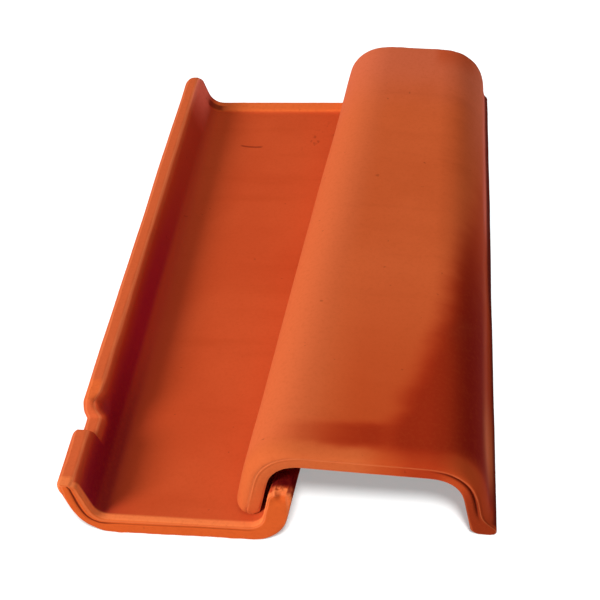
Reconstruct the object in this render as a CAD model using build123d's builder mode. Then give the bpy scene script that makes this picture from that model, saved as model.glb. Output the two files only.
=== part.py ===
# Pan-and-cover clay roof tile: a channel tile that lies on its back, and a cover tile that straddles its
# right wall. Millimetres, +Z up, +Y from the pan's narrow end to its wide end. The origin is the middle of
# the pan's underside.
import os
from math import atan2, cos, radians, sin, sqrt, tan

from build123d import *

# Pan tile
pan_length = 460.0
pan_narrow_width = 144.9  # over the wall tops, front end, lips not counted
pan_wide_width = 179.9  # the same at the back end
pan_height = 40.0
pan_thickness = 11.5
pan_wall_lean = 15.0  # degrees outward from upright
pan_outer_radius = 26.0
pan_inner_radius = 10.0
pan_lip_overhang = 0.8
pan_lip_height = 6.5
pan_edge_break = 2.5  # eased edges along the wall tops
pan_underside_trim = 0.4  # scraped off to leave the underside flat

# Bevel inside the pan's front end, and the raised band inside its back end
pan_bevel_length = 5.0
pan_bevel_depth = 1.2
pan_band_length = 11.0
pan_band_rise = 2.2
pan_band_slope_length = 3.0
pan_band_radius = 12.0  # where the band runs into the walls
pan_end_radius = 3.0  # rounded upper edge of each wall at the back end
pan_back_corner_radius = 12.0  # seen from above
pan_front_corner_radius = 4.5  # seen from above, down to the notch's depth

# Notch across the wall tops, behind the pan's front end
notch_setback = 48.0
notch_floor_length = 18.0
notch_ramp_length = 8.0
notch_depth = 8.0

# Cover tile
cover_length = 460.0
cover_wide_width = 152.7  # over the feet, front end, lip not counted
cover_narrow_width = 114.4  # the same at the back end
cover_left_swell = 3.7  # extra clay outside the left leg at the front, none at the back
cover_wide_height = 57.5
cover_narrow_height = 49.0
cover_thickness = 12.2
cover_wide_lean = 11.0  # degrees outward toward the feet, front end
cover_narrow_lean = 6.0  # the same at the back end
cover_outer_radius = 32.0
cover_inner_radius = 19.0
cover_lip_overhang = 2.5  # right foot only
cover_lip_height = 5.0
cover_edge_break = 3.0  # eased edges along the feet
cover_nose_length = 18.0  # front end, rounded off on the outside
cover_nose_depth = 6.0
cover_nose_steps = 5

# How the cover lies: its left foot on the pan's floor, the front of its right foot on the ground
cover_setback = 10.0  # left foot's front, behind the pan's front end
cover_front_margin = 0.4  # left foot's bearing line to the start of the pan's inner curve
cover_back_margin = 10.4
seat_gap = 0.2

overrun = 4.0  # how far cuts run past the clay

pan_front = -pan_length / 2
pan_back = pan_length / 2


# Channel of one tile, upright, open at the top: half widths of its faces at one place along its length
def wall_slope(lean):
    return tan(radians(lean))


def floor_half_width(width, height, thickness, lean):
    return width / 2 - (height - thickness) * wall_slope(lean) - thickness / cos(radians(lean))


def flat_half_width(floor_half, radius, lean):
    return floor_half - radius * tan(radians(90 - lean) / 2)


# One side of a channel's outer face, from its base to its top; inset draws the wall in, but not the lip
def outer_side(width, height, lean, lip, lip_height, inset, trim):
    slope = wall_slope(lean)
    top_x = width / 2 - inset / cos(radians(lean))
    base_z = inset - trim
    base = (top_x - (height - base_z) * slope, base_z)
    if lip == 0:
        return [base, (top_x, height)]
    lip_x = width / 2 + lip
    root_z = height - lip_height - (lip_x - top_x)
    return [base, (top_x - (height - root_z) * slope, root_z), (lip_x, height - lip_height), (lip_x, height)]


# Outer face of a channel, with its left and right full widths, and its lips along the outside of the wall
# tops; trim adds clay below the base
def outer_section(plane, widths, height, lean, radius, lips, lip_height, edge_break, inset=0, trim=0):
    left, right = [
        outer_side(width, height, lean, lip, lip_height, inset, trim) for width, lip in zip(widths, lips)]
    with BuildSketch(plane) as section:
        with BuildLine():
            Polyline(*right, *[(-x, z) for x, z in reversed(left)], close=True)
        make_face()
        fillet(section.vertices().group_by(Axis.Y)[0], radius - inset)
        fillet(section.vertices().group_by(Axis.Y)[-1], edge_break)
    return section.sketch


# Hollow of a channel, flared along the wall tops; growth widens it into the clay on every side, and lift
# raises its floor between the same walls
def hollow_section(plane, width, height, thickness, lean, radius, edge_break, growth=0, lift=0):
    slope = wall_slope(lean)
    floor_z = thickness - growth + lift
    spread = growth / cos(radians(lean)) + (lift - growth) * slope
    floor_x = floor_half_width(width, height, thickness, lean) + spread
    flare_z = height - edge_break
    flare_x = floor_x + (flare_z - floor_z) * slope
    mouth_x = flare_x + edge_break + overrun
    mouth_z = height + overrun
    with BuildSketch(plane) as section:
        with BuildLine():
            side = [(floor_x, floor_z), (flare_x, flare_z), (mouth_x, mouth_z)]
            Polyline(*side, *[(-x, z) for x, z in reversed(side)], close=True)
        make_face()
        fillet(section.vertices().group_by(Axis.Y)[0], radius + growth)
    return section.sketch


# Pan: sections across Y
def pan_width_at(y):
    return pan_narrow_width + (pan_wide_width - pan_narrow_width) * (y - pan_front) / pan_length


def pan_plane(y):
    return Plane(origin=(0, y, 0), x_dir=(1, 0, 0), z_dir=(0, -1, 0))


def pan_outer(y):
    return outer_section(
        pan_plane(y), (pan_width_at(y), pan_width_at(y)), pan_height, pan_wall_lean, pan_outer_radius,
        (pan_lip_overhang, pan_lip_overhang), pan_lip_height, pan_edge_break, trim=pan_underside_trim)


def pan_hollow(y, growth=0):
    return hollow_section(
        pan_plane(y), pan_width_at(y), pan_height, pan_thickness, pan_wall_lean, pan_inner_radius,
        pan_edge_break, growth)


# The same over the raised band, share being how far up the band's slope
def pan_band_hollow(y, share=1):
    radius = pan_inner_radius + (pan_band_radius - pan_inner_radius) * share
    return hollow_section(
        pan_plane(y), pan_width_at(y), pan_height, pan_thickness, pan_wall_lean, radius,
        pan_edge_break, lift=pan_band_rise * share)


# Waste outside one rounded corner, seen from above; inward is the way along Y into the clay
def corner_waste(end, inward, radius, side):
    outer_x = side * (pan_width_at(end) / 2 + pan_lip_overhang)
    inner_x = outer_x - side * radius
    past_x = outer_x + side * overrun
    past_y = end - inward * overrun
    start_y = end + inward * radius
    with BuildSketch(Plane.XY.offset(pan_height + overrun)) as waste:
        with BuildLine():
            RadiusArc((outer_x, start_y), (inner_x, end), -side * inward * radius)
            Polyline(
                (inner_x, end), (inner_x, past_y), (past_x, past_y), (past_x, start_y), (outer_x, start_y))
        make_face()
    return waste.sketch


band_start = pan_back - pan_band_length
band_foot = band_start - pan_band_slope_length
bevel_slope = pan_bevel_depth / pan_bevel_length
past_band_share = 1 + overrun / pan_band_slope_length
notch_front = pan_front + notch_setback
notch_floor_end = notch_front + notch_floor_length
notch_ramp_end = notch_floor_end + notch_ramp_length * (1 + overrun / notch_depth)

with BuildPart() as pan_tile:
    loft([pan_outer(pan_front), pan_outer(pan_back)], ruled=True)
    split(bisect_by=Plane.XY, keep=Keep.TOP)
    # The shallower hollow runs the whole length, and the full one stops short of the raised band
    loft(
        [pan_band_hollow(pan_front - overrun), pan_band_hollow(pan_back + overrun)],
        ruled=True, mode=Mode.SUBTRACT)
    loft([pan_hollow(pan_front - overrun), pan_hollow(band_foot)], ruled=True, mode=Mode.SUBTRACT)
    loft(
        [pan_hollow(band_foot), pan_band_hollow(band_start + overrun, past_band_share)],
        ruled=True, mode=Mode.SUBTRACT)
    # Bevel round the inside of the front end
    loft(
        [pan_hollow(pan_front - overrun, pan_bevel_depth + bevel_slope * overrun),
         pan_hollow(pan_front + pan_bevel_length + overrun, -bevel_slope * overrun)],
        ruled=True, mode=Mode.SUBTRACT)
    # Notch across both wall tops: upright front side, level floor, ramp up to the full height
    with BuildSketch(Plane.YZ):
        with BuildLine():
            Polyline(
                (notch_front, pan_height + overrun), (notch_front, pan_height - notch_depth),
                (notch_floor_end, pan_height - notch_depth), (notch_ramp_end, pan_height + overrun),
                close=True)
        make_face()
    extrude(amount=pan_wide_width, both=True, mode=Mode.SUBTRACT)
    # Rounded upper corners at the back end
    with BuildSketch(Plane.YZ):
        with BuildLine():
            CenterArc((pan_back - pan_end_radius, pan_height - pan_end_radius), pan_end_radius, 0, 90)
            Polyline(
                (pan_back - pan_end_radius, pan_height), (pan_back - pan_end_radius, pan_height + overrun),
                (pan_back + overrun, pan_height + overrun), (pan_back + overrun, pan_height - pan_end_radius),
                (pan_back, pan_height - pan_end_radius))
        make_face()
    extrude(amount=pan_wide_width, both=True, mode=Mode.SUBTRACT)
    # Corners rounded as seen from above: the whole wall at the back, the wall top at the front
    for side in (-1, 1):
        back_waste = corner_waste(pan_back, -1, pan_back_corner_radius, side)
        extrude(back_waste, amount=-pan_height - 2 * overrun, mode=Mode.SUBTRACT)
        front_waste = corner_waste(pan_front, 1, pan_front_corner_radius, side)
        extrude(front_waste, amount=-notch_depth - overrun, mode=Mode.SUBTRACT)
pan_tile.part.label = "pan_tile"


# Cover: the same channel upside down, on planes that follow how it lies
def cover_width_at(along):
    return cover_wide_width + (cover_narrow_width - cover_wide_width) * along / cover_length


def cover_height_at(along):
    return cover_wide_height + (cover_narrow_height - cover_wide_height) * along / cover_length


def cover_lean_at(along):
    return cover_wide_lean + (cover_narrow_lean - cover_wide_lean) * along / cover_length


def cover_bearing(along):
    height, lean = cover_height_at(along), cover_lean_at(along)
    floor_half = floor_half_width(cover_width_at(along), height, cover_thickness, lean)
    upright = height - cover_thickness - cover_edge_break
    return floor_half + upright * wall_slope(lean) + cover_edge_break


def pan_flat_edge(y):
    floor_half = floor_half_width(pan_width_at(y), pan_height, pan_thickness, pan_wall_lean)
    return flat_half_width(floor_half, pan_inner_radius, pan_wall_lean)


# The left foot's bearing line runs from the pan's floor at the front to the raised band near the back
bearing_front_y = pan_front + cover_setback
bearing_front_x = pan_flat_edge(pan_front) - cover_front_margin
bearing_back_x = pan_flat_edge(pan_back) - cover_back_margin
bearing_narrowing = cover_bearing(0) - cover_bearing(cover_length)
bearing_length = sqrt(cover_length**2 + bearing_narrowing**2)
bearing_angle = atan2(bearing_narrowing, cover_length)
bearing_reach = sqrt(bearing_length**2 - (bearing_back_x - bearing_front_x)**2)
bearing_rise = pan_band_rise * bearing_reach / (band_start - bearing_front_y)
bearing_front = Vector(bearing_front_x, bearing_front_y, pan_thickness + seat_gap)
bearing_along = Vector(bearing_back_x - bearing_front_x, bearing_reach, bearing_rise).normalized()

# The cover tips about that line until the outer edge of its right foot's front meets the ground
right_foot_reach = cover_bearing(0) + cover_wide_width / 2 + cover_lip_overhang - cover_edge_break
level_across = bearing_along.cross(Vector(0, 0, 1)).normalized()
bearing_up = level_across.cross(bearing_along)
drop = bearing_front.Z + right_foot_reach * sin(bearing_angle) * bearing_along.Z
tip_share = drop / (right_foot_reach * cos(bearing_angle) * bearing_up.Z)
bearing_across = level_across * sqrt(1 - tip_share**2) - bearing_up * tip_share
cover_across = bearing_along * sin(bearing_angle) + bearing_across * cos(bearing_angle)
cover_along = bearing_along * cos(bearing_angle) - bearing_across * sin(bearing_angle)
cover_up = cover_across.cross(cover_along)
cover_origin = bearing_front + cover_across * cover_bearing(0)


def cover_plane(along):
    crown = cover_origin + cover_along * along + cover_up * cover_height_at(along)
    return Plane(origin=crown, x_dir=cover_across, z_dir=cover_along)


def cover_outer(along, inset=0, swell_share=1):
    width = cover_width_at(along)
    swell = cover_left_swell * swell_share * (1 - along / cover_length)
    return outer_section(
        cover_plane(along), (width + 2 * swell, width), cover_height_at(along), cover_lean_at(along),
        cover_outer_radius, (0, cover_lip_overhang), cover_lip_height, cover_edge_break, inset)


def cover_hollow(along):
    return hollow_section(
        cover_plane(along), cover_width_at(along), cover_height_at(along), cover_thickness,
        cover_lean_at(along), cover_inner_radius, cover_edge_break)


# Sections of the rounded front end, on a quarter of an ellipse from the front face back
def cover_nose(turn):
    return cover_outer(cover_nose_length * (1 - cos(turn)), cover_nose_depth * (1 - sin(turn)), sin(turn))


nose_turns = [radians(90 * step / cover_nose_steps) for step in range(cover_nose_steps + 1)]

with BuildPart() as cover_tile:
    loft([cover_outer(cover_nose_length), cover_outer(cover_length)], ruled=True)
    for turn, next_turn in zip(nose_turns, nose_turns[1:]):
        loft([cover_nose(turn), cover_nose(next_turn)], ruled=True)
    loft([cover_hollow(-overrun), cover_hollow(cover_length + overrun)], ruled=True, mode=Mode.SUBTRACT)
cover_tile.part.label = "cover_tile"

os.makedirs("parts", exist_ok=True)
export_step(pan_tile.part, "parts/pan_tile.step")
export_step(cover_tile.part, "parts/cover_tile.step")
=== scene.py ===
from math import atan2, cos, radians, sin, sqrt, tan

import bmesh
import bpy
from mathutils import Matrix, Vector, noise


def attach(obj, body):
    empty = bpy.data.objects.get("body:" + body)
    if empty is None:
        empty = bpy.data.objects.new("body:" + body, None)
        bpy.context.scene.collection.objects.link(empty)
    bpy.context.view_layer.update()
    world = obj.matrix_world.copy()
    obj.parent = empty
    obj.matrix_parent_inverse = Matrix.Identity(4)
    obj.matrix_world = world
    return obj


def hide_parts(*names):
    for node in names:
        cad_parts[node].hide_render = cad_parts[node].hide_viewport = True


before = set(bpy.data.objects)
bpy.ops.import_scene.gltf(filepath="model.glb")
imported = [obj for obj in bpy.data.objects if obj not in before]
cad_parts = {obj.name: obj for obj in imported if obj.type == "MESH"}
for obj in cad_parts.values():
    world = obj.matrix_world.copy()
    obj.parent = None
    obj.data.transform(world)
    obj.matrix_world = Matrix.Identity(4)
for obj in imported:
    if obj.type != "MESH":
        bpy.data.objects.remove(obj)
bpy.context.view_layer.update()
scene = bpy.context.scene
scene.view_settings.view_transform = "Standard"
mm = 0.001
print("frame loaded:", ", ".join(sorted(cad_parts)))


# Small helpers

def lerp(a, b, share):
    return a + (b - a) * share


def smooth(low, high, value):  # 0 below low, 1 above high, eased between
    share = min(max((value - low) / (high - low), 0), 1)
    return share * share * (3 - 2 * share)


# The two fired tiles, as channels in millimetres: the pan upright, the cover upside down
# Turns count across half a tile: its flat ends at 1, its bend at 2, its wall at 3

pan = {
    "length": 460, "frontWidth": 144.9, "backWidth": 179.9, "frontHeight": 40, "backHeight": 40,
    "thickness": 11.5, "lean": 15, "backLean": 15, "outerRadius": 26, "innerRadius": 10,
    "lips": (0.8, 0.8), "lipHeight": 6.5, "edgeBreak": 2.5, "baseTrim": 0.4,
    "wornLip": (24, 60),  # the right lip is worn away before the first, whole after the second
    "wallSwell": 3, "swellLength": 45,  # extra clay inside the right wall's front end
    "bevelLength": 5, "bevelDepth": 1.2,  # inside of the front end
    "bandLength": 11, "bandRise": 2.2, "bandSlope": 3, "bandRadius": 12,  # inside of the back end
    "endRadius": 3, "backCorner": 12, "frontCorner": 4.5, "blockCorner": 5,  # wall tops' ends
    "leastTop": 1.5,  # how wide a wall top stays where its end is rounded
    "notchSetback": 48, "notchFloor": 18, "notchRamp": 8, "notchDepth": 8, "rampEase": 1.5,
    "rows": [0, 0.07, 0.17, 0.28, 0.5, 0.92, 1],  # through the clay, from the hollow side
    "leftRows": [0, 0.3, 0.42, 0.54, 0.68, 0.92, 1],  # the same up the left wall
    "grooveRow": 2, "grooveDepth": 1.2, "faintGroove": 0.3,  # faint along the floor
    "deepTurns": (0.8, 1.4), "endTurns": (0.9, 1.6),  # it deepens up the left bend, ends in the right one
    "frontSteps": [0, 0.6, 1.5, 2.8, 4.2, 5.6, 7.5, 12, 21, 32, 41],  # stations from the front end
    "notchSteps": [[-4.5, -2.6, -1.2, -0.3, 0.2, 1.2, 5, 11],  # from the start of the notch
                   [-2.5, -0.5, 0.6, 3, 6], [-0.4, 1, 5, 13, 26, 44]],  # from the ends of its floor and ramp
    "middle": range(140, 416, 25),
    "backSteps": [28, 18, 14, 12.6, 11.4, 9.5, 7, 4.5, 2.5, 1, 0.3, 0],  # stations from the back end
}
cover = {
    "length": 460, "frontWidth": 152.7, "backWidth": 114.4, "frontHeight": 57.5, "backHeight": 49,
    "thickness": 12.2, "lean": 11, "backLean": 6, "outerRadius": 32, "innerRadius": 19,
    "lips": (0, 2.5), "lipHeight": 5, "edgeBreak": 3, "baseTrim": 0,
    "leftSwell": 3.7,  # extra clay outside the left leg's front end
    "noseLength": 13, "noseDepth": 4.6,  # outside of the front end
    "rows": [0, 0.12, 0.46, 0.64, 0.79, 0.93, 1],
    "grooveRow": 4, "grooveDepth": 2.4,
    "faintGroove": 0.12, "faintTurns": (0.5, 1.2), "faintEnd": (1.8, 2.4),  # round the left shoulder
    "deepTurns": (0.8, 1.5), "deepEnd": (2.05, 2.4),  # round the right one
    "frontSteps": [0, 0.25, 0.9, 2, 3.6, 5.8, 8.6, 12, 16, 20, 27, 36, 48, 66],
    "middle": range(90, 391, 25),
    "backSteps": [48, 30, 16, 8, 3, 1, 0],
    "setback": 10, "frontMargin": 0.4, "backMargin": 10.4, "seatGap": 0.2,  # how it lies on the pan
}
flatShares = [0, 0.3, 0.6, 0.85, 1]
bendShares = [0.2, 0.4, 0.6, 0.8, 1]
wallShares = [step / 6 for step in range(1, 7)]
leftRowTurns = (0.9, 1.7)  # where a tile's left rows take over from its rows
turns = flatShares + [1 + s for s in bendShares] + [2 + s for s in wallShares]
innerShares = [0.35, 0.65, 0.9]  # points up a wall's hollow side, below its eased edge
easeShare = 0.3  # the part of an outer edge's break that its middle point takes
leastRoot = 1  # how far a lip's root lies below it at least
notchStart = pan["notchSetback"]
notchFloorEnd = notchStart + pan["notchFloor"]
notchRampEnd = notchFloorEnd + pan["notchRamp"]


def stationsOf(tile, features=()):  # places along a tile, closer together at its features
    stations = list(tile["frontSteps"])
    for place, steps in features:
        stations += [place + step for step in steps]
    return stations + list(tile["middle"]) + [tile["length"] - step for step in tile["backSteps"]]


def widthAt(tile, along):
    return lerp(tile["frontWidth"], tile["backWidth"], along / tile["length"])


def heightAt(tile, along):
    return lerp(tile["frontHeight"], tile["backHeight"], along / tile["length"])


def leanAt(tile, along):
    return lerp(tile["lean"], tile["backLean"], along / tile["length"])


def floorHalf(tile, along):  # half width where the hollow's wall line meets its floor
    lean = radians(leanAt(tile, along))
    top = widthAt(tile, along) / 2
    return top - (heightAt(tile, along) - tile["thickness"]) * tan(lean) - tile["thickness"] / cos(lean)


def roundCorner(corner, radius, lean):  # (where the flat ends, points round the bend)
    flat = corner[0] - radius * tan(radians(90 - lean) / 2)
    angles = [radians(lerp(-90, -lean, s)) for s in bendShares]
    return flat, [(flat + radius * cos(a), corner[1] + radius * (1 + sin(a))) for a in angles]


def nearEnd(along, length):  # 1 at the end, falling to 0 on a quarter of an ellipse
    rest = max(1 - along / length, 0)
    return 1 - sqrt(1 - rest * rest)


def outerSide(tile, along, top, draw, lip, swell=0, lipShare=1):  # middle of the base to the wall's top
    lean, height, half = leanAt(tile, along), heightAt(tile, along), widthAt(tile, along) / 2 + swell
    slope, upright, ease = tan(radians(lean)), cos(radians(lean)), tile["edgeBreak"]
    topX, baseZ = half - draw / upright, draw - tile["baseTrim"]
    flat, bend = roundCorner((topX - (height - baseZ) * slope, baseZ), tile["outerRadius"] - draw, lean)
    lipX, lipZ, startZ = half + lip, height - tile["lipHeight"], bend[-1][1]
    rootZ = lipZ - max(lipX - topX, leastRoot)
    points = [(flat * s, max(baseZ, 0)) for s in flatShares] + [(x, max(z, 0)) for x, z in bend]
    levels = [(startZ + rootZ) / 2, rootZ, lipZ, height - ease, height - ease * easeShare, height]
    for z, cut in zip(levels, (0, 0, 0, 0, ease * easeShare, ease)):
        z = lerp(startZ, top, (z - startZ) / (height - startZ))
        wallX = topX - (height - z) * slope
        onLip = min(max((z - rootZ) / (lipZ - rootZ), 0), 1) if lip else 0
        points.append((lerp(wallX, lipX, onLip * lipShare) - cut, z))
    return points


def innerSide(tile, along, top, radius, growth=0, lift=0):  # hollow side, grown into the clay, floor lifted
    lean = leanAt(tile, along)
    slope, upright = tan(radians(lean)), cos(radians(lean))
    floorX = floorHalf(tile, along) + growth / upright + (lift - growth) * slope
    floorZ = tile["thickness"] - growth + lift
    flat, bend = roundCorner((floorX, floorZ), radius + growth, lean)
    startZ, flareZ = bend[-1][1], top - tile["edgeBreak"]
    points = [(flat * s, floorZ) for s in flatShares] + bend
    for z in [lerp(startZ, flareZ, s) for s in innerShares] + [flareZ, (flareZ + top) / 2, top]:
        points.append((floorX + (z - floorZ) * slope + max(z - flareZ, 0), z))
    return points


def onRamp(along):  # 1 at the foot of the notch's ramp, 0 at its top and off it
    return (notchRampEnd - along) / pan["notchRamp"] if notchFloorEnd <= along < notchRampEnd else 0


def panTop(along):  # wall height: notch behind the front end, rounded at the back
    inNotch = 1 if notchStart < along < notchFloorEnd else onRamp(along)
    rounding = pan["endRadius"] * nearEnd(pan["length"] - along, pan["endRadius"])
    return pan["frontHeight"] - pan["notchDepth"] * inNotch - rounding


def panReach(along):  # how far out the wall tops go, with their ends rounded as seen from above
    reach = widthAt(pan, along) / 2 + pan["lips"][0] - pan["rampEase"] * onRamp(along)
    reach -= pan["frontCorner"] * nearEnd(along, pan["frontCorner"])
    reach -= pan["backCorner"] * nearEnd(pan["length"] - along, pan["backCorner"])
    if along < notchStart:
        reach -= pan["blockCorner"] * nearEnd(notchStart - along, pan["blockCorner"])
    return reach


def panSides(along):  # (hollow side, outer side) of the left half, then of the right
    top, reach, wallZ = panTop(along), panReach(along), pan["frontHeight"] - pan["notchDepth"]
    bandStart = pan["length"] - pan["bandLength"]
    growth = pan["bevelDepth"] * nearEnd(along, pan["bevelLength"])
    onBand = smooth(bandStart - pan["bandSlope"], bandStart, along)
    radius = lerp(pan["innerRadius"], pan["bandRadius"], onBand)
    lift = pan["bandRise"] * onBand
    swell = pan["wallSwell"] * (1 - smooth(0, pan["swellLength"], along))
    sides = []
    for lip, lipShare, extra in zip(pan["lips"], (1, smooth(*pan["wornLip"], along)), (0, swell)):
        inner = innerSide(pan, along, top, radius + extra, growth - extra, lift - extra)
        limit = max(reach, inner[-1][0] + pan["leastTop"])
        outer = outerSide(pan, along, top, 0, lip, lipShare=lipShare)
        sides.append((inner, [(min(x, limit) if z > wallZ else x, z) for x, z in outer]))
    return sides


def coverSides(along):
    top, end = heightAt(cover, along), nearEnd(along, cover["noseLength"])
    swells = (cover["leftSwell"] * (1 - end) * (1 - along / cover["length"]), 0)
    draw = cover["noseDepth"] * end
    inner = innerSide(cover, along, top, cover["innerRadius"])
    outers = [outerSide(cover, along, top, draw, lip, swell) for lip, swell in zip(cover["lips"], swells)]
    return [(inner, outer) for outer in outers]


def panGroove(turn):  # deep up the left wall, faint along the floor
    deep = lerp(pan["faintGroove"], 1, smooth(*pan["deepTurns"], -turn))
    return deep * (1 - smooth(*pan["endTurns"], turn))


def coverGroove(turn):  # deep round the right shoulder, faint round the left one
    left = smooth(*cover["faintTurns"], -turn) * (1 - smooth(*cover["faintEnd"], -turn))
    right = smooth(*cover["deepTurns"], turn) * (1 - smooth(*cover["deepEnd"], turn))
    return cover["faintGroove"] * left + right


def panPlace(x, along, z):
    return Vector((x, along - pan["length"] / 2, z)) * mm


# The cover tips about its left foot's bearing line until its right foot's front meets the ground

def coverBearing(along):
    height = heightAt(cover, along)
    reach = (height - cover["thickness"] - cover["edgeBreak"]) * tan(radians(leanAt(cover, along)))
    return floorHalf(cover, along) + reach + cover["edgeBreak"]


def panFlatEdge(along):
    return floorHalf(pan, along) - pan["innerRadius"] * tan(radians(90 - pan["lean"]) / 2)


def coverSeat():
    length, frontY = cover["length"], cover["setback"] - pan["length"] / 2
    frontX = panFlatEdge(0) - cover["frontMargin"]
    across = panFlatEdge(pan["length"]) - cover["backMargin"] - frontX
    narrowing = coverBearing(0) - coverBearing(length)
    angle = atan2(narrowing, length)
    reach = sqrt(length**2 + narrowing**2 - across**2)
    bandY = pan["length"] / 2 - pan["bandLength"]
    front = Vector((frontX, frontY, pan["thickness"] + cover["seatGap"]))
    along = Vector((across, reach, pan["bandRise"] * reach / (bandY - frontY))).normalized()
    footReach = coverBearing(0) + cover["frontWidth"] / 2 + cover["lips"][1] - cover["edgeBreak"]
    level = along.cross(Vector((0, 0, 1))).normalized()
    up = level.cross(along)
    tip = (front.z + footReach * sin(angle) * along.z) / (footReach * cos(angle) * up.z)
    side = level * sqrt(1 - tip**2) - up * tip
    right = along * sin(angle) + side * cos(angle)
    back = along * cos(angle) - side * sin(angle)
    return front + right * coverBearing(0), right, back, right.cross(back)


seatPoint, seatRight, seatBack, seatUp = coverSeat()


def coverPlace(x, along, z):
    return (seatPoint + seatRight * x + seatBack * along + seatUp * (heightAt(cover, along) - z)) * mm


# A tile's skin: stations along it, points across it, rows through the clay, then subdivided

skinFields = ("arris", "groove", "across", "along", "inside")  # what the clay's colours read


def ringAt(sides):  # (hollow x, hollow z, outer x, outer z, turn) from the left wall's top to the right one's
    ring = []
    for side, (inner, outer) in zip((-1, 1), sides):
        points = zip(inner, outer, turns)
        half = [(side * xi, zi, side * xo, zo, side * turn) for (xi, zi), (xo, zo), turn in points]
        ring += half[:0:-1] if side < 0 else half
    return ring


def buildCage(name, tile, stations, sidesAt, place, groove):
    rings = [ringAt(sidesAt(along)) for along in stations]
    rows = tile["rows"]
    leftRows = tile.get("leftRows", rows)
    lastAcross, lastAlong, lastRow = len(rings[0]) - 1, len(stations) - 1, len(rows) - 1
    shape = bmesh.new()
    layers = {key: shape.verts.layers.float.new(key) for key in skinFields}
    made = {}

    def corner(i, j, k):
        if (i, j, k) in made:
            return made[i, j, k]
        xi, zi, xo, zo, turn = rings[k][i]
        share = lerp(rows[j], leftRows[j], smooth(*leftRowTurns, -turn))
        x, z = lerp(xi, xo, share), lerp(zi, zo, share)
        atEnd, onTop, onFace = k in (0, lastAlong), i in (0, lastAcross), j in (0, lastRow)
        pressed = groove(turn) if k == 0 and j == tile["grooveRow"] and not onTop else 0
        vert = shape.verts.new(place(x, stations[k] + tile["grooveDepth"] * pressed, z))
        vert[layers["arris"]] = 1.0 if atEnd + onTop + onFace > 1 else 0.0
        vert[layers["groove"]] = pressed
        vert[layers["across"]] = turn
        vert[layers["along"]] = stations[k] * mm
        vert[layers["inside"]] = 1 - share
        made[i, j, k] = vert
        return vert

    def sheet(fixed, value, countA, countB):
        for a in range(countA):
            for b in range(countB):
                spots = [(a, b), (a + 1, b), (a + 1, b + 1), (a, b + 1)]
                shape.faces.new([corner(*fixed(value, p, q)) for p, q in spots])

    for row in (0, lastRow):
        sheet(lambda v, p, q: (p, v, q), row, lastAcross, lastAlong)
    for end in (0, lastAlong):
        sheet(lambda v, p, q: (p, q, v), end, lastAcross, lastRow)
    for wall in (0, lastAcross):
        sheet(lambda v, p, q: (v, p, q), wall, lastRow, lastAlong)
    bmesh.ops.recalc_face_normals(shape, faces=shape.faces)
    cage = bpy.data.meshes.new(name + "_cage")
    shape.to_mesh(cage)
    shape.free()
    return cage


def buildSkin(name, cage):
    holder = bpy.data.objects.new(name + "_cage", cage)
    scene.collection.objects.link(holder)
    finer = holder.modifiers.new("finer", "SUBSURF")
    finer.levels = finer.render_levels = 2
    finer.use_limit_surface = False
    mesh = bpy.data.meshes.new_from_object(holder.evaluated_get(bpy.context.evaluated_depsgraph_get()))
    bpy.data.objects.remove(holder)
    bpy.data.meshes.remove(cage)
    mesh.name = name
    mesh.polygons.foreach_set("use_smooth", [True] * len(mesh.polygons))
    piece = bpy.data.objects.new(name, mesh)
    scene.collection.objects.link(piece)
    print(name, "skin:", len(mesh.polygons), "faces")
    return piece


# Hand-made unevenness, in millimetres: slow warps, worn arrises, dents and crumbled clay

handWork = {
    "wear": 0.5, "wearSize": 7, "wearBase": 0.6,  # how deep an arris wears, how quickly that changes along it
    "chipCore": 0.25, "crumbCore": 0.3,  # the share of a mark's radius that has its full depth
    "crumbBase": 0.45, "crumbSize": 3.4, "fineCrumbSize": 1.7, "fineCrumbShare": 0.4,
}
panFinish = {
    "seed": (3.1, 7.7, 1.9), "warps": [(110, 0.5), (34, 0.22), (9, 0.06)],  # (size, depth)
    "chips": [((-62.5, -156, 38), 10, (-3, 0, -1.5)),  # left wall's inner edge, on the notch's ramp
              ((62, -230, 40), 8, (0, 2, -1.2)),  # right wall's front end, twice
              ((69, -230, 40), 9, (-0.8, 2.4, -1.6))],
    "crumbs": [((66, -224, 43), 9, 0.8)],  # behind it
}
coverFinish = {
    "seed": (8.4, 2.2, 5.6), "warps": [(120, 0.5), (36, 0.25), (9, 0.06)], "chips": [], "crumbs": [],
}


def nearSpot(p, spot, radius, core):  # 1 within the core of a spot, 0 outside its radius
    return 1 - smooth(core, 1, (p - Vector(spot)).length / radius)


def crumble(p, offset):
    coarse = noise.noise(p / handWork["crumbSize"] + offset)
    fine = noise.noise(p / handWork["fineCrumbSize"] - offset)
    return handWork["crumbBase"] + coarse + handWork["fineCrumbShare"] * fine


def roughen(piece, finish):
    mesh = piece.data
    arris = mesh.attributes["arris"].data
    offset = Vector(finish["seed"])
    moves = []
    for vert, worn in zip(mesh.vertices, arris):
        p = vert.co / mm
        push = sum(noise.noise(p / size + offset) * depth for size, depth in finish["warps"])
        wear = handWork["wearBase"] + noise.noise(p / handWork["wearSize"] + offset)
        push -= worn.value * handWork["wear"] * wear
        chip = Vector()
        for spot, radius, shift in finish["chips"]:
            chip += Vector(shift) * nearSpot(p, spot, radius, handWork["chipCore"])
        for spot, radius, depth in finish["crumbs"]:
            near = nearSpot(p, spot, radius, handWork["crumbCore"])
            if near > 0:
                push -= depth * near * crumble(p, offset)
        moves.append((vert.normal * push + chip) * mm)
    for vert, move in zip(mesh.vertices, moves):
        vert.co = vert.co + move
        vert.co.z = max(vert.co.z, 0)
    mesh.update()


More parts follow.
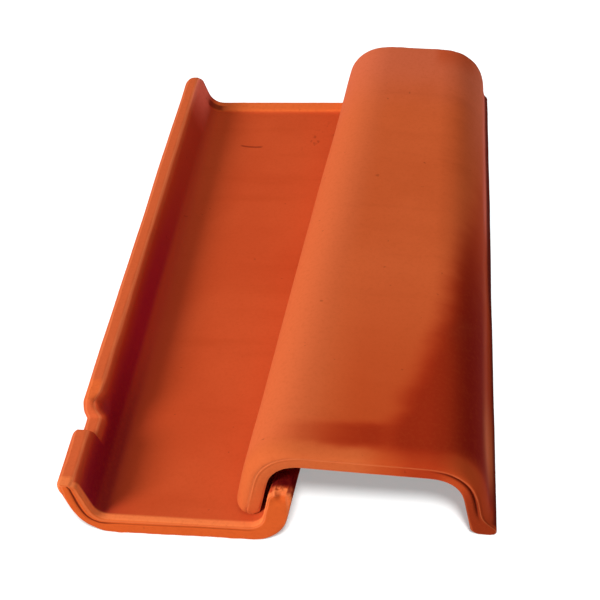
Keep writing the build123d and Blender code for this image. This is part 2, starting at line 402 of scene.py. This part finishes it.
panStations = stationsOf(pan, zip((notchStart, notchFloorEnd, notchRampEnd), pan["notchSteps"]))
panTile = buildSkin("pan_clay", buildCage("pan_clay", pan, panStations, panSides, panPlace, panGroove))
roughen(panTile, panFinish)
coverCage = buildCage("cover_clay", cover, stationsOf(cover), coverSides, coverPlace, coverGroove)
coverTile = buildSkin("cover_clay", coverCage)
roughen(coverTile, coverFinish)
print("tiles shaped")


# Shader maths: a wire wraps a socket, and sums on wires add their nodes

class Wire:
    def __init__(self, graph, socket):
        self.graph, self.socket = graph, socket

    def maths(self, operation, a, b):
        return self.graph.add("ShaderNodeMath", {"operation": operation}, {0: a, 1: b})

    def __add__(self, other):
        return self.maths("ADD", self, other)

    def __mul__(self, other):
        return self.maths("MULTIPLY", self, other)

    def __sub__(self, other):
        return self.maths("SUBTRACT", self, other)

    def __rsub__(self, other):
        return self.maths("SUBTRACT", other, self)

    __radd__ = __add__
    __rmul__ = __mul__


class Graph:
    def __init__(self, owner):  # a new material or world
        owner.use_nodes = True
        self.tree = owner.node_tree
        self.tree.nodes.clear()

    def add(self, kind, settings=None, inputs=None, output=0):
        node = self.tree.nodes.new(kind)
        for name, value in (settings or {}).items():
            if name == "stops":
                self.setStops(node.color_ramp, value)
            else:
                setattr(node, name, value)
        for key, value in (inputs or {}).items():
            if isinstance(value, Wire):
                self.tree.links.new(value.socket, node.inputs[key])
            else:
                node.inputs[key].default_value = value
        return Wire(self, node.outputs[output]) if node.outputs else node

    def setStops(self, ramp, stops):  # pairs of place and grey level, joined smoothly
        ramp.interpolation = "B_SPLINE"
        ramp.elements.remove(ramp.elements[1])
        for count, (place, level) in enumerate(stops):
            stop = ramp.elements.new(place) if count else ramp.elements[0]
            stop.position, stop.color = place, (level, level, level, 1)

    def attribute(self, name):
        return self.add("ShaderNodeAttribute", {"attribute_name": name}, output="Fac")

    def spots(self, size, scale=(1, 1, 1), detail=3.0, roughness=0.55):  # noise stretched by scale
        where = self.add("ShaderNodeTexCoord", output="Object")
        where = self.add("ShaderNodeMapping", None, {"Vector": where, "Scale": scale})
        return self.add("ShaderNodeTexNoise", None, {
            "Vector": where, "Scale": size, "Detail": detail, "Roughness": roughness})

    def band(self, value, low, high):  # 0 below low, 1 above high, eased
        return self.add("ShaderNodeMapRange", {"interpolation_type": "SMOOTHSTEP"}, {
            "Value": value, "From Min": low, "From Max": high})

    def between(self, value, low, high, soft):  # 1 from low to high, eased to 0 outside
        return self.band(value, low - soft, low) * (1 - self.band(value, high, high + soft))

    def within(self, value, limits):  # a band for two limits, a stretch with soft ends for three
        return self.band(value, *limits) if len(limits) == 2 else self.between(value, *limits)

    def patch(self, mark, across, along):  # where a mark lies, at its strength
        return self.within(across, mark["turns"]) * self.within(along, mark["along"]) * mark["share"]

    def ground(self):  # Object coordinates across and along the tile
        where = self.add("ShaderNodeTexCoord", output="Object")
        return [self.add("ShaderNodeSeparateXYZ", None, {"Vector": where}, output=axis) for axis in "XY"]

    def curve(self, value, stops):
        return self.add("ShaderNodeValToRGB", {"stops": stops}, {0: value})

    def blend(self, share, a, b):
        return self.add("ShaderNodeMix", {"data_type": "RGBA"}, {0: share, 6: a, 7: b}, output=2)

    def seen(self):  # 1 for what the camera sees, also in gloss and through glass
        rays = [self.add("ShaderNodeLightPath", output=kind)
                for kind in ("Is Camera Ray", "Is Glossy Ray", "Is Transmission Ray")]
        return rays[0] + rays[1] + rays[2]


def opaque(red, green, blue):
    return (red, green, blue, 1)


# The pan's colours, and where its marks lie: turns across it, metres along it, shares of full strength
# Two limits are a rise or a fall, three a stretch and its softness
# Sway is how far the clay's clouds shift an edge

panLook = {
    "body": opaque(0.61, 0.080, 0.021), "warm": opaque(0.65, 0.092, 0.025),
    # skin: a lighter lit copy of the clay for the wall tops and outside, painted light
    "deep": opaque(0.50, 0.054, 0.011), "skin": opaque(0.71, 0.128, 0.038),
    # the first: arris wear plus a painted highlight
    # the second: dark specks, a scratch and pores, plus painted shade in the groove and the back crease
    "worn": opaque(0.84, 0.22, 0.08), "soot": opaque(0.16, 0.014, 0.005),
    # painted shade on the left wall and its corner, toward the front and toward the back
    "shade": opaque(0.46, 0.037, 0.019), "shadeBack": opaque(0.49, 0.052, 0.020),
    # painted shade on the left wall, deepest in a band up it and toward the front
    "wine": opaque(0.38, 0.012, 0.034), "gloom": opaque(0.17, 0.004, 0.011),
    # the first: a painted pink reflection at the left wall's back end
    # the second: painted shadow under the cover and painted shade on the right wall's outer edge
    "rosy": opaque(0.92, 0.20, 0.13), "maroon": opaque(0.12, 0.003, 0.004),
    "crumb": opaque(0.40, 0.026, 0.006), "band": opaque(0.86, 0.16, 0.036),
    # face and bead: lighter lit copies of the clay, painted light, the bead's a painted highlight
    "face": opaque(0.72, 0.115, 0.021), "bead": opaque(0.90, 0.21, 0.06),
}
panMarks = {
    "sway": 0.3,
    "hollow": {"inside": (0.984, 0.998), "along": (0.0035, 0.0055)},
    # painted shade on the left wall and its corner
    "shade": {"turns": (0.5, 1.4), "later": 0.4, "laterAlong": (0.2, 0.44),  # it starts later toward the back
              "top": (2.45, 2.9), "topFade": 0.8, "back": (0.14, 0.3), "share": 0.85},
    # painted shade up the left wall, and deepest toward the front
    "wine": {"turns": (2.0, 2.15, 0.45), "fall": (0.18, 0.38), "fallShare": 0.9, "share": 0.9},
    "gloom": {"turns": (1.3, 2.1, 0.5), "fall": (0.05, 0.18), "share": 0.65},
    # a painted pink reflection at the left wall's back end
    "rosy": {"turns": (1.6, 2.2), "along": (0.40, 0.45), "sway": 0.02, "share": 0.85},
    "band": {"along": (0.4465, 0.4485), "fall": (1.2, 1.7)},
    # a painted shade crease where the back band meets the left bend
    "crease": {"turns": (1.1, 1.7, 0.25), "along": (0.449, 0.4535, 0.002), "share": 0.8},
    "bead": (0.0002, 0.001), "skin": (0.006, 0.009),  # behind the front face: a painted highlight on the bead, then skin, a lighter lit copy of the clay as painted light
    "rubbed": {"turns": (2.7, 2.85), "along": (0.076, 0.089, 0.006), "sway": 0.01, "share": 0.8},
    "scratch": {"x": (-0.0345, -0.02, 0.003), "y": (0.165, 0.1663, 0.0007), "middle": -0.026,
                "slope": 0.06, "bow": 14, "share": 0.6},
    "specks": {"x": (0.024, 0.034, 0.014), "y": (0.172, 0.19, 0.02), "size": 210, "scale": (1, 0.6, 1),
               "levels": (0.6, 0.7), "share": 0.35},
    "crumbs": {"turns": (2.7, 2.9), "along": (0.005, 0.01, 0.002), "size": 240, "levels": (0.42, 0.58),
               "share": 0.75},
    # painted shadow on the right wall's top under the cover, painted shade on its outer edge at the front
    "wallTop": {"turns": (2.6, 2.8), "along": (0.007, 0.011), "sway": 0.01, "share": 1},
    "outerEdge": {"turns": (1.5, 2.1), "along": (0.004, 0.03, 0.003), "fall": (0.04, 0.14), "share": 0.8},
}


def panHollow(g, look, colour, left, along, wander):  # painted shade on the left wall and its corner, a painted pink reflection at the wall's back end, the band at the back with a painted shade crease
    shade, wine, gloom, rosy, band = (panMarks[key] for key in ("shade", "wine", "gloom", "rosy", "band"))
    toWall = left - g.band(along, *shade["laterAlong"]) * shade["later"]
    shaded = g.band(toWall, *shade["turns"]) * (1 - g.band(left, *shade["top"]) * shade["topFade"])
    tone = g.blend(g.band(along, *shade["back"]), look["shade"], look["shadeBack"])
    colour = g.blend(shaded * shade["share"], colour, tone)
    wall = g.between(left, *wine["turns"]) * (1 - g.band(along, *wine["fall"]) * wine["fallShare"])
    colour = g.blend(wall * wine["share"], colour, look["wine"])
    front = g.between(left, *gloom["turns"]) * (1 - g.band(along, *gloom["fall"]))
    colour = g.blend(front * gloom["share"], colour, look["gloom"])
    colour = g.blend(g.patch(rosy, left, along + wander * rosy["sway"]), colour, look["rosy"])
    onBand = g.band(along, *band["along"]) * (1 - g.band(left, *band["fall"]))
    colour = g.blend(onBand, colour, look["band"])
    return g.blend(g.patch(panMarks["crease"], left, along), colour, look["soot"])


def panFloorMarks(g, look, colour):  # a curved scratch and a few dark specks
    scratch, specks = panMarks["scratch"], panMarks["specks"]
    x, y = g.ground()
    fromMiddle = x - scratch["middle"]
    bowed = y + x * scratch["slope"] - fromMiddle * fromMiddle * scratch["bow"]
    scratched = g.between(x, *scratch["x"]) * g.between(bowed, *scratch["y"])
    dots = g.band(g.spots(specks["size"], specks["scale"], detail=2), *specks["levels"])
    dotted = dots * g.between(x, *specks["x"]) * g.between(y, *specks["y"])
    return g.blend(scratched * scratch["share"] + dotted * specks["share"], colour, look["soot"])


def panEdges(g, look, left, along, wander):  # front face, its bead, wall tops and outside, as lighter lit copies of the clay: painted light, on the bead a painted highlight
    rubbed = panMarks["rubbed"]
    colour = g.blend(g.band(along, *panMarks["bead"]), look["face"], look["bead"])
    colour = g.blend(g.band(along, *panMarks["skin"]), colour, look["skin"])
    return g.blend(g.patch(rubbed, left, along + wander * rubbed["sway"]), colour, look["band"])


def panColour(g, look, colour, across, along, inside, wander):
    hollow, crumbs = panMarks["hollow"], panMarks["crumbs"]
    wallTop, outerEdge = panMarks["wallTop"], panMarks["outerEdge"]
    left = across * -1 + wander * panMarks["sway"]
    colour = panFloorMarks(g, look, panHollow(g, look, colour, left, along, wander))
    inHollow = g.band(inside, *hollow["inside"]) * g.band(along, *hollow["along"])
    colour = g.blend(inHollow, panEdges(g, look, left, along, wander), colour)
    crumbly = g.band(g.spots(crumbs["size"], detail=2), *crumbs["levels"])
    colour = g.blend(g.patch(crumbs, across, along) * crumbly, colour, look["crumb"])
    # painted shadow under the cover and painted shade on the right wall's outer edge
    underCover = g.patch(wallTop, across, along + wander * wallTop["sway"])
    darkEdge = g.patch(outerEdge, across, along) * (1 - g.band(inside, *outerEdge["fall"]))
    shadowed = 1 - (1 - underCover) * (1 - darkEdge)
    return g.blend(shadowed, colour, look["maroon"]), shadowed


# The cover's colours, and where its marks lie, in the same measures

coverLook = {
    "body": opaque(0.64, 0.109, 0.027), "warm": opaque(0.69, 0.124, 0.033),
    # skin: a lighter lit copy of the clay for the left side, painted light
    "deep": opaque(0.48, 0.066, 0.014), "skin": opaque(0.71, 0.14, 0.043),
    # the first: arris wear plus a painted highlight
    # the second: dark pores, plus painted shade in the groove
    "worn": opaque(0.76, 0.19, 0.065), "soot": opaque(0.14, 0.012, 0.004),
    # the first: dust plus painted sheen toward the back
    # the second: a painted highlight along the nose
    "dusty": opaque(0.68, 0.15, 0.075), "nose": opaque(0.65, 0.13, 0.034),
    # after ruddy: painted shade on the right shoulder and behind the nose, in three steps to the darkest
    "ruddy": opaque(0.56, 0.070, 0.014), "ember": opaque(0.50, 0.038, 0.008),
    "scorch": opaque(0.36, 0.026, 0.006), "core": opaque(0.25, 0.009, 0.0035),
    # leg colours: painted shade in the middle, a painted lit strip at the front, a painted pink floor
    # reflection at the back
    "leg": opaque(0.43, 0.045, 0.010), "legFront": opaque(0.62, 0.13, 0.042),
    "legBack": opaque(0.72, 0.14, 0.09), "foot": opaque(0.28, 0.03, 0.007),
    # painted shade on the right lip's outer face
    "lip": opaque(0.10, 0.006, 0.004),
}
coverMarks = {
    "sway": 0.3,
    # where the painted light of the left side ends
    "lit": (-1.25, -0.5),
    # dust plus painted sheen on the back, and on the right shoulder's back
    "dust": {"along": (0.36, 0.45), "sway": 0.05, "share": 0.55},
    "shoulderDustAndSheen": {"turns": (1.2, 1.7), "along": (0.27, 0.37), "share": 0.5},
    "backCorner": {"turns": (0.9, 1.4, 0.35), "along": (0.425, 0.455), "sway": 0.02, "share": 0.6},
    # a painted highlight along the nose
    "nose": {"fall": (0.004, 0.02), "share": 0.9},
    "ruddy": {"turns": (-0.9, -0.1), "fall": (0.04, 0.2), "sway": 0.03, "share": 0.75,
              "noseTurns": (-0.2, 0.3), "noseFall": (0.006, 0.018)},  # not on the left of the nose
    "wisps": {"size": 38, "scale": (1, 1.6, 1), "depth": 0.7},
    # the painted shade's edge, as shares of its span in turns, at shares of its length back from the front
    "shadeEdge": [(0, 0.60), (0.05, 0.56), (0.10, 0.52), (0.15, 0.50), (0.20, 0.53), (0.28, 0.60),
                   (0.47, 0.69), (0.79, 0.84), (1, 0.90)],
    "shoulder": {"edgeStart": -1, "edgeSpan": 2.5, "edgeLength": 0.15, "later": 0.4,
                 "laterAlong": (0.15, 0.3), "soft": (-0.35, 0.3), "wisps": 0.35,
                 "fall": (0.12, 0.44), "sway": 0.05},
    # painted shade in a streak behind the nose
    "streak": {"turns": (-1.5, 0.1), "turnWisps": 0.5, "along": (0.0155, 0.024, 0.0105), "alongWisps": 0.012,
               "thin": (0.05, 0.4), "thinShare": 0.45, "share": 0.85},
    # where the painted shade is weaker, right of the nose
    "shadeGap": {"turns": (1.0, 1.4), "end": (1.6, 2.0), "endShare": 0.6, "fall": (0.009, 0.018), "share": 0.6},
    "frontEdge": {"along": (0.004, 0.015), "least": 0.65},  # the painted shade is weaker there
    # the darkest painted shade, on the right bend near the front
    "core": {"turns": (1.16, 1.6), "sway": 0.2, "along": (0.011, 0.024), "fall": (0.11, 0.25), "share": 1},
    "foot": {"turns": (1.5, 2.2), "fall": (0.0001, 0.0015), "share": 0.9},
    # painted light and shade on the right leg's outside
    "leg": {"turns": (1.8, 2.15), "along": (0.01, 0.05), "share": 0.8, "back": (0.1, 0.2),
            "middle": (0.11, 0.24, 0.06)},
    # painted shade on the right lip's outer face
    "lip": {"turns": (2.36, 2.5), "along": (0.001, 0.004), "share": 1, "fall": (0.02, 0.12),
            "wider": 0.08, "widerAlong": (0.16, 0.24), "strength": 0.95},
}


def coverSkin(g, look, colour, across, along, wander):  # painted light on the left side, dust plus painted sheen at the back, a painted highlight on the nose
    dust, backCorner, nose = (coverMarks[key] for key in ("dust", "backCorner", "nose"))
    swayed = across + wander * coverMarks["sway"]
    # painted light on the left side
    colour = g.blend(1 - g.band(swayed, *coverMarks["lit"]), colour, look["skin"])
    # dust plus painted sheen
    dusty = g.band(along + wander * dust["sway"], *dust["along"]) * dust["share"]
    colour = g.blend(dusty, colour, look["dusty"])
    colour = g.blend(g.patch(coverMarks["shoulderDustAndSheen"], across, along), colour, look["dusty"])
    colour = g.blend(g.patch(backCorner, swayed, along + wander * backCorner["sway"]), colour, look["ruddy"])
    # a painted highlight along the nose
    return g.blend((1 - g.band(along, *nose["fall"])) * nose["share"], colour, look["nose"])


def paintedShadeShare(g, across, along, wander):  # painted shade: right shoulder, and a streak behind the nose
    shoulder, streak, shadeGap, frontEdge, wisps = (
        coverMarks[key] for key in ("shoulder", "streak", "shadeGap", "frontEdge", "wisps"))
    wispy = wander + (g.spots(wisps["size"], wisps["scale"]) - 0.5) * wisps["depth"]
    edge = g.curve(along * (1 / shoulder["edgeLength"]), coverMarks["shadeEdge"])
    edge = edge * shoulder["edgeSpan"] + shoulder["edgeStart"]
    edge = edge + g.band(along, *shoulder["laterAlong"]) * shoulder["later"]
    shoulderShaded = g.band(across + wispy * shoulder["wisps"] - edge, *shoulder["soft"])
    shoulderShaded = shoulderShaded * (1 - g.band(along + wander * shoulder["sway"], *shoulder["fall"]))
    streaked = g.between(along + wispy * streak["alongWisps"], *streak["along"])
    streaked = streaked * g.band(across + wispy * streak["turnWisps"], *streak["turns"])
    streaked = streaked * (1 - g.band(across, *streak["thin"]) * streak["thinShare"])
    inShadeGap = g.band(across, *shadeGap["turns"]) * (1 - g.band(across, *shadeGap["end"]) * shadeGap["endShare"])
    inShadeGap = inShadeGap * (1 - g.band(along, *shadeGap["fall"]))
    shadedShare = (1 - (1 - shoulderShaded) * (1 - streaked * streak["share"])) * (1 - inShadeGap * shadeGap["share"])
    return shadedShare * (g.band(along, *frontEdge["along"]) * (1 - frontEdge["least"]) + frontEdge["least"])


# a ruddier front, then painted shade on the right shoulder and in a streak behind the nose, darkest at its
# core
def coverShade(g, look, colour, across, along, wander):
    ruddy, core = coverMarks["ruddy"], coverMarks["core"]
    onNose = (1 - g.band(along, *ruddy["noseFall"])) * (1 - g.band(across, *ruddy["noseTurns"]))
    front = 1 - g.band(along + wander * ruddy["sway"], *ruddy["fall"])
    reddened = (1 - onNose) * front * g.band(across + wander * coverMarks["sway"], *ruddy["turns"])
    colour = g.blend(reddened * ruddy["share"], colour, look["ruddy"])
    shadedShare = paintedShadeShare(g, across, along, wander)
    colour = g.blend(shadedShare * shadedShare, g.blend(shadedShare, colour, look["ember"]), look["scorch"])
    darkest = g.patch(core, across + wander * core["sway"], along) * (1 - g.band(along, *core["fall"]))
    return g.blend(darkest, colour, look["core"])


def coverLeg(g, look, colour, across, along):  # the right leg's outside and its front end, with painted light and shade: a lit strip at the front, shade in the middle, a pink floor reflection at the back
    foot, leg = coverMarks["foot"], coverMarks["leg"]
    onFoot = g.band(across, *foot["turns"]) * (1 - g.band(along, *foot["fall"]))
    colour = g.blend(onFoot * foot["share"], colour, look["foot"])
    tone = g.blend(g.band(along, *leg["back"]), look["legFront"], look["legBack"])
    tone = g.blend(g.between(along, *leg["middle"]), tone, look["leg"])
    return g.blend(g.patch(leg, across, along), colour, tone)


def coverColour(g, look, colour, across, along, inside, wander):
    lip = coverMarks["lip"]
    colour = coverSkin(g, look, colour, across, along, wander)
    colour = coverShade(g, look, colour, across, along, wander)
    colour = coverLeg(g, look, colour, across, along)
    # painted shade on the right lip's outer face
    widened = across + g.band(along, *lip["widerAlong"]) * lip["wider"]
    shadowed = g.patch(lip, widened, along) * (1 - g.band(inside, *lip["fall"]))
    return g.blend(shadowed * lip["strength"], colour, look["lip"]), shadowed


# Fired clay, the same for both tiles under their own colours

clayFinish = {
    "clouds": 9, "cloudLevels": (0.38, 0.62), "sway": 1.2,
    "streaks": (8, 50, 20), "streakLevels": (0.5, 0.75), "streakShare": 0.25,
    "grain": 420, "grainRoughness": 0.65, "grainLevels": (0.42, 0.75), "grainShare": 0.18,
    "pores": 190, "poreLevels": (0.735, 0.765), "poreShare": 0.3,
    "wearAndHighlightLevels": (0.12, 0.7), "wearAndHighlightShare": 0.4, "grooveLevels": (0.03, 0.5), "grooveShare": 0.85,
    "roughness": 0.8, "roughnessSpread": 0.2, "gloss": 0.02,
    "relief": 0.5, "reliefDepth": 0.0004, "reliefStrength": 0.3,
}


def clayMaterial(name, look, pattern):
    clay = clayFinish
    material = bpy.data.materials.new(name)
    g = Graph(material)
    across, along, inside, arris, groove = (
        g.attribute(key) for key in ("across", "along", "inside", "arris", "groove"))
    clouds = g.spots(clay["clouds"], detail=4)
    streaks = g.spots(1, clay["streaks"], detail=4)
    grain = g.spots(clay["grain"], detail=4, roughness=clay["grainRoughness"])
    pores = g.band(g.spots(clay["pores"], detail=2), *clay["poreLevels"])
    colour = g.blend(g.band(clouds, *clay["cloudLevels"]), look["body"], look["warm"])
    colour = g.blend(g.band(streaks, *clay["streakLevels"]) * clay["streakShare"], colour, look["deep"])
    wander = (clouds - 0.5) * clay["sway"]
    colour, shadowed = pattern(g, look, colour, across, along, inside, wander)
    colour = g.blend(g.band(grain, *clay["grainLevels"]) * clay["grainShare"], colour, look["deep"])
    # arris wear plus a painted highlight along the edges, kept off where painted shade lies
    worn = g.band(arris + (clouds - 0.5), *clay["wearAndHighlightLevels"]) * (1 - shadowed)
    colour = g.blend(worn * clay["wearAndHighlightShare"], colour, look["worn"])
    # painted shade in the groove
    colour = g.blend(g.band(groove, *clay["grooveLevels"]) * clay["grooveShare"], colour, look["soot"])
    colour = g.blend(pores * clay["poreShare"], colour, look["soot"])
    bump = g.add("ShaderNodeBump", None, {
        "Height": (grain + streaks - pores) * clay["relief"],
        "Distance": clay["reliefDepth"], "Strength": clay["reliefStrength"]})
    surface = g.add("ShaderNodeBsdfPrincipled", None, {
        "Base Color": colour, "Roughness": clay["roughness"] + (grain - 0.5) * clay["roughnessSpread"],
        "Specular IOR Level": clay["gloss"], "Normal": bump})
    g.add("ShaderNodeOutputMaterial", None, {"Surface": surface})
    return material


panTile.data.materials.append(clayMaterial("pan_clay", panLook, panColour))
coverTile.data.materials.append(clayMaterial("cover_clay", coverLook, coverColour))
for piece, node in ((panTile, "pan_tile"), (coverTile, "cover_tile")):
    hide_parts(node)
    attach(piece, "root")
print("tiles dressed")


# Pale floor, soft light, white surroundings

stageLook = {
    "half": 6,  # metres from the floor's middle to its sides
    "seen": opaque(0.90, 0.93, 0.93), "unseen": opaque(0.55, 0.55, 0.55),  # floor to the eye, to the tiles
    "white": 0.34, "glow": opaque(0.91, 1, 1),  # its glow: a cool white, as the clay reddens it
    "world": 0.27, "sky": opaque(1, 1, 1),  # how much light the surroundings give
    "aim": (0.05, 0, 0.02),  # where the lamps point
}
lamps = {
    "left_key": {"kind": "AREA", "place": (-2.83, -2.32, 2.25), "floor": "EXCLUDE",  # not on the floor
                 "settings": {"shape": "DISK", "size": 1.6, "energy": 158}},
    "top_fill": {"kind": "AREA", "place": (0.1, 0.2, 2.4), "floor": None,
                 "settings": {"shape": "DISK", "size": 1.6, "energy": 10}},
    "floor_light": {"kind": "SUN", "place": (0.9, -2.5, 4.3), "floor": "INCLUDE",  # on the floor alone
                    "settings": {"angle": radians(11), "energy": 4}},
}


def paleFloor():
    mesh = bpy.data.meshes.new("floor")
    half = stageLook["half"]
    corners = [(-half, -half, 0), (half, -half, 0), (half, half, 0), (-half, half, 0)]
    mesh.from_pydata(corners, [], [(0, 1, 2, 3)])
    floor = bpy.data.objects.new("floor", mesh)
    scene.collection.objects.link(floor)
    material = bpy.data.materials.new("pale_floor")
    g = Graph(material)
    seen = g.seen()
    colour = g.blend(seen, stageLook["unseen"], stageLook["seen"])
    plain = g.add("ShaderNodeBsdfDiffuse", None, {"Color": colour})
    glow = g.add("ShaderNodeEmission", None, {"Color": stageLook["glow"], "Strength": 1})
    both = g.add("ShaderNodeMixShader", None, {0: seen * stageLook["white"], 1: plain, 2: glow})
    g.add("ShaderNodeOutputMaterial", None, {"Surface": both})
    mesh.materials.append(material)
    return floor


def whiteSurroundings():
    scene.world = bpy.data.worlds.new("studio")
    g = Graph(scene.world)
    strength = g.seen() * (1 - stageLook["world"]) + stageLook["world"]
    sky = g.add("ShaderNodeBackground", None, {"Color": stageLook["sky"], "Strength": strength})
    g.add("ShaderNodeOutputWorld", None, {"Surface": sky})


def addLamp(name, lamp, floor):
    light = bpy.data.lights.new(name, lamp["kind"])
    for key, value in lamp["settings"].items():
        setattr(light, key, value)
    holder = bpy.data.objects.new(name, light)
    scene.collection.objects.link(holder)
    holder.location = lamp["place"]
    aim = Vector(stageLook["aim"]) - Vector(lamp["place"])
    holder.rotation_euler = aim.to_track_quat("-Z", "Y").to_euler()
    if lamp["floor"]:
        lit = bpy.data.collections.new(name)
        holder.light_linking.receiver_collection = lit
        lit.objects.link(floor)
        lit.collection_objects[0].light_linking.link_state = lamp["floor"]


floor = paleFloor()
whiteSurroundings()
for name, lamp in lamps.items():
    addLamp(name, lamp, floor)
print("stage lit")


# Camera at the photograph's viewing angle

view = {
    "place": (0.2233, -0.7742, 0.6678), "pitch": 40.271, "yaw": 13.538, "roll": -7.379,
    "focalPixels": 1432.9, "framePixels": 600, "sensor": 36, "near": 0.01, "far": 50,
}


def placeCamera():
    pitch, yaw, roll = (radians(view[key]) for key in ("pitch", "yaw", "roll"))
    ahead = Vector((-sin(yaw) * cos(pitch), cos(yaw) * cos(pitch), -sin(pitch)))
    level = ahead.cross(Vector((0, 0, 1))).normalized()
    upright = level.cross(ahead)
    right = level * cos(roll) + upright * sin(roll)
    up = upright * cos(roll) - level * sin(roll)
    data = bpy.data.cameras.new("camera")
    data.sensor_width = view["sensor"]
    data.lens = view["focalPixels"] / view["framePixels"] * view["sensor"]
    data.clip_start, data.clip_end = view["near"], view["far"]
    camera = bpy.data.objects.new("camera", data)
    turn = Matrix((right, up, -ahead)).transposed().to_4x4()
    camera.matrix_world = Matrix.Translation(view["place"]) @ turn
    scene.collection.objects.link(camera)
    scene.camera = camera


placeCamera()
print("camera placed")

print("done")
